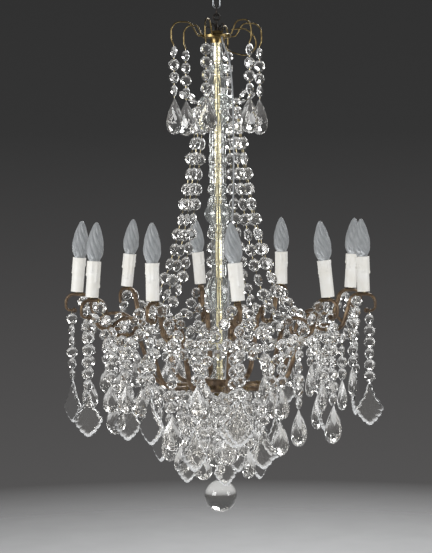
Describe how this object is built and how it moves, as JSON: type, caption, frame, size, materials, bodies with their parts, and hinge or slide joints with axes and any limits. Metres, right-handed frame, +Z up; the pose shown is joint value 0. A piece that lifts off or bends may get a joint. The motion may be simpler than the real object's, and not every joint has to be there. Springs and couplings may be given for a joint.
{
  "type": "cage chandelier",
  "caption": "Hanging cage chandelier: scroll arms with candle lamps round a glass column, bead strands from a crown, hanging crystal drops and a glass ball below.",
  "frame": {"origin": "inside top of the upper chain link, where a ceiling hook bears", "axes": "+Z up along the column, -Y towards the viewer of the picture"},
  "size_m": [0.6782, 0.6581, 1.1003],
  "materials": {
    "chain_steel": "bright zinc plated wire",
    "dark_iron": "dark worn iron",
    "aged_brass": "aged yellow brass",
    "brown_bronze": "brown patina over brass",
    "black_plastic": "moulded",
    "ivory_plastic": "ivory candle sleeve",
    "grey_plastic": "flexible lead",
    "crystal": "cut clear crystal",
    "column_glass": "moulded clear glass",
    "frosted_glass": "frosted twisted flame bulb"
  },
  "bodies": {
    "ceiling": {"ceiling_link": "chain_steel"},
    "swivel": {"oval_link": "dark_iron"},
    "frame": {"hanging_hook": "dark_iron", "stem_nuts": "aged_brass", "crown_plate": "aged_brass", "crown_wires": "aged_brass", "stem_tube": "aged_brass", "top_glass_sleeve": "column_glass", "glass_bell": "column_glass", "strand_dish": "column_glass", "upper_glass_tube": "column_glass", "glass_knop": "column_glass", "glass_vase": "column_glass", "glass_base_sleeve": "column_glass", "arm_hub": "brown_bronze", "arm_01": "brown_bronze", "arm_02": "brown_bronze", "arm_03": "brown_bronze", "arm_04": "brown_bronze", "arm_05": "brown_bronze", "arm_06": "brown_bronze", "arm_07": "brown_bronze", "arm_08": "brown_bronze", "arm_09": "brown_bronze", "arm_10": "brown_bronze", "candle_cups": "aged_brass", "lampholders": "black_plastic", "candle_sleeves": "ivory_plastic", "cage_strands": "crystal", "swag_garlands": "crystal", "bowl_drops": "crystal", "link_pins": "aged_brass", "feed_lead": "grey_plastic"},
    "bulb_01": {"bulb_01": "frosted_glass"},
    "bulb_02": {"bulb_02": "frosted_glass"},
    "bulb_03": {"bulb_03": "frosted_glass"},
    "bulb_04": {"bulb_04": "frosted_glass"},
    "bulb_05": {"bulb_05": "frosted_glass"},
    "bulb_06": {"bulb_06": "frosted_glass"},
    "bulb_07": {"bulb_07": "frosted_glass"},
    "bulb_08": {"bulb_08": "frosted_glass"},
    "bulb_09": {"bulb_09": "frosted_glass"},
    "bulb_10": {"bulb_10": "frosted_glass"},
    "arm_drop_01": {"arm_drop_01": "crystal"},
    "arm_drop_02": {"arm_drop_02": "crystal"},
    "arm_drop_03": {"arm_drop_03": "crystal"},
    "arm_drop_04": {"arm_drop_04": "crystal"},
    "arm_drop_05": {"arm_drop_05": "crystal"},
    "arm_drop_06": {"arm_drop_06": "crystal"},
    "arm_drop_07": {"arm_drop_07": "crystal"},
    "arm_drop_08": {"arm_drop_08": "crystal"},
    "arm_drop_09": {"arm_drop_09": "crystal"},
    "arm_drop_10": {"arm_drop_10": "crystal"},
    "crown_drop_1": {"crown_drop_1": "crystal"},
    "crown_drop_2": {"crown_drop_2": "crystal"},
    "crown_drop_3": {"crown_drop_3": "crystal"},
    "crown_drop_4": {"crown_drop_4": "crystal"},
    "crown_drop_5": {"crown_drop_5": "crystal"},
    "crown_drop_6": {"crown_drop_6": "crystal"},
    "ball": {"ball_finial": "crystal"}
  },
  "joints": [
    {"name": "link_swing", "type": "hinge", "parent": "ceiling", "child": "swivel", "pos_m": [0, 0, -0.03475], "axis": [1, 0, 0], "range_deg": [-20, 20]},
    {"name": "hook_swing", "type": "hinge", "parent": "swivel", "child": "frame", "pos_m": [0, 0, -0.0519], "axis": [0, 1, 0], "range_deg": [-20, 20]},
    {"name": "bulb_screw_01", "type": "hinge", "parent": "frame", "child": "bulb_01", "pos_m": [0.03143, -0.30025, -0.56807], "axis": [-0.0907, 0.0239, 0.9956], "range_deg": [0, 1080]},
    {"name": "bulb_screw_02", "type": "hinge", "parent": "frame", "child": "bulb_02", "pos_m": [0.20886, -0.21343, -0.56812], "axis": [-0.0984, 0.0247, 0.9948], "range_deg": [0, 1080]},
    {"name": "bulb_screw_03", "type": "hinge", "parent": "frame", "child": "bulb_03", "pos_m": [0.2989, -0.04201, -0.56784], "axis": [-0.0346, 0.0049, 0.9994], "range_deg": [0, 1080]},
    {"name": "bulb_screw_04", "type": "hinge", "parent": "frame", "child": "bulb_04", "pos_m": [0.28973, 0.10545, -0.56795], "axis": [0.0656, 0.0239, 0.9976], "range_deg": [0, 1080]},
    {"name": "bulb_screw_05", "type": "hinge", "parent": "frame", "child": "bulb_05", "pos_m": [0.14272, 0.26842, -0.5678], "axis": [0, 0, 1], "range_deg": [0, 1080]},
    {"name": "bulb_screw_06", "type": "hinge", "parent": "frame", "child": "bulb_06", "pos_m": [-0.04736, 0.29816, -0.56807], "axis": [-0.0814, -0.0466, 0.9956], "range_deg": [0, 1080]},
    {"name": "bulb_screw_07", "type": "hinge", "parent": "frame", "child": "bulb_07", "pos_m": [-0.2005, 0.22133, -0.56819], "axis": [0.1101, -0.0162, 0.9938], "range_deg": [0, 1080]},
    {"name": "bulb_screw_08", "type": "hinge", "parent": "frame", "child": "bulb_08", "pos_m": [-0.29696, 0.03121, -0.56804], "axis": [0.0867, -0.0091, 0.9962], "range_deg": [0, 1080]},
    {"name": "bulb_screw_09", "type": "hinge", "parent": "frame", "child": "bulb_09", "pos_m": [-0.25042, -0.16263, -0.56804], "axis": [0.0731, 0.0475, 0.9962], "range_deg": [0, 1080]},
    {"name": "bulb_screw_10", "type": "hinge", "parent": "frame", "child": "bulb_10", "pos_m": [-0.12848, -0.27552, -0.5678], "axis": [0, 0, 1], "range_deg": [0, 1080]},
    {"name": "arm_drop_swing_01", "type": "hinge", "parent": "frame", "child": "arm_drop_01", "pos_m": [0.03851, -0.31365, -0.6715], "axis": [-0.9925, -0.1219, 0], "range_deg": [-8, 20]},
    {"name": "arm_drop_swing_02", "type": "hinge", "parent": "frame", "child": "arm_drop_02", "pos_m": [0.22345, -0.22345, -0.6715], "axis": [-0.7071, -0.7071, 0], "range_deg": [-8, 20]},
    {"name": "arm_drop_swing_03", "type": "hinge", "parent": "frame", "child": "arm_drop_03", "pos_m": [0.31293, -0.04398, -0.6715], "axis": [-0.1392, -0.9903, 0], "range_deg": [-8, 20]},
    {"name": "arm_drop_swing_04", "type": "hinge", "parent": "frame", "child": "arm_drop_04", "pos_m": [0.29694, 0.10808, -0.6715], "axis": [0.342, -0.9397, 0], "range_deg": [-8, 20]},
    {"name": "arm_drop_swing_05", "type": "hinge", "parent": "frame", "child": "arm_drop_05", "pos_m": [0.14835, 0.27901, -0.6715], "axis": [0.8829, -0.4695, 0], "range_deg": [-8, 20]},
    {"name": "arm_drop_swing_06", "type": "hinge", "parent": "frame", "child": "arm_drop_06", "pos_m": [-0.04398, 0.31293, -0.6715], "axis": [0.9903, 0.1392, 0], "range_deg": [-8, 20]},
    {"name": "arm_drop_swing_07", "type": "hinge", "parent": "frame", "child": "arm_drop_07", "pos_m": [-0.21551, 0.23111, -0.6715], "axis": [0.7314, 0.682, 0], "range_deg": [-8, 20]},
    {"name": "arm_drop_swing_08", "type": "hinge", "parent": "frame", "child": "arm_drop_08", "pos_m": [-0.31427, 0.03303, -0.6715], "axis": [0.1045, 0.9945, 0], "range_deg": [-8, 20]},
    {"name": "arm_drop_swing_09", "type": "hinge", "parent": "frame", "child": "arm_drop_09", "pos_m": [-0.26502, -0.17211, -0.6715], "axis": [-0.5446, 0.8387, 0], "range_deg": [-8, 20]},
    {"name": "arm_drop_swing_10", "type": "hinge", "parent": "frame", "child": "arm_drop_10", "pos_m": [-0.13355, -0.28639, -0.6715], "axis": [-0.9063, 0.4226, 0], "range_deg": [-8, 20]},
    {"name": "crown_drop_swing_1", "type": "hinge", "parent": "frame", "child": "crown_drop_1", "pos_m": [-0.0225, -0.09024, -0.2191], "axis": [-0.9703, 0.2419, 0], "range_deg": [-12, 25]},
    {"name": "crown_drop_swing_2", "type": "hinge", "parent": "frame", "child": "crown_drop_2", "pos_m": [0.0669, -0.0646, -0.2191], "axis": [-0.6947, -0.7193, 0], "range_deg": [-12, 25]},
    {"name": "crown_drop_swing_3", "type": "hinge", "parent": "frame", "child": "crown_drop_3", "pos_m": [0.0894, 0.02563, -0.2191], "axis": [0.2756, -0.9613, 0], "range_deg": [-12, 25]},
    {"name": "crown_drop_swing_4", "type": "hinge", "parent": "frame", "child": "crown_drop_4", "pos_m": [0.0225, 0.09024, -0.2191], "axis": [0.9703, -0.2419, 0], "range_deg": [-12, 25]},
    {"name": "crown_drop_swing_5", "type": "hinge", "parent": "frame", "child": "crown_drop_5", "pos_m": [-0.0669, 0.0646, -0.2191], "axis": [0.6947, 0.7193, 0], "range_deg": [-12, 25]},
    {"name": "crown_drop_swing_6", "type": "hinge", "parent": "frame", "child": "crown_drop_6", "pos_m": [-0.0894, -0.02563, -0.2191], "axis": [-0.2756, 0.9613, 0], "range_deg": [-12, 25]},
    {"name": "ball_swing", "type": "hinge", "parent": "frame", "child": "ball", "pos_m": [0, 0, -0.849], "axis": [1, 0, 0], "range_deg": [-6, 6]}
  ]
}
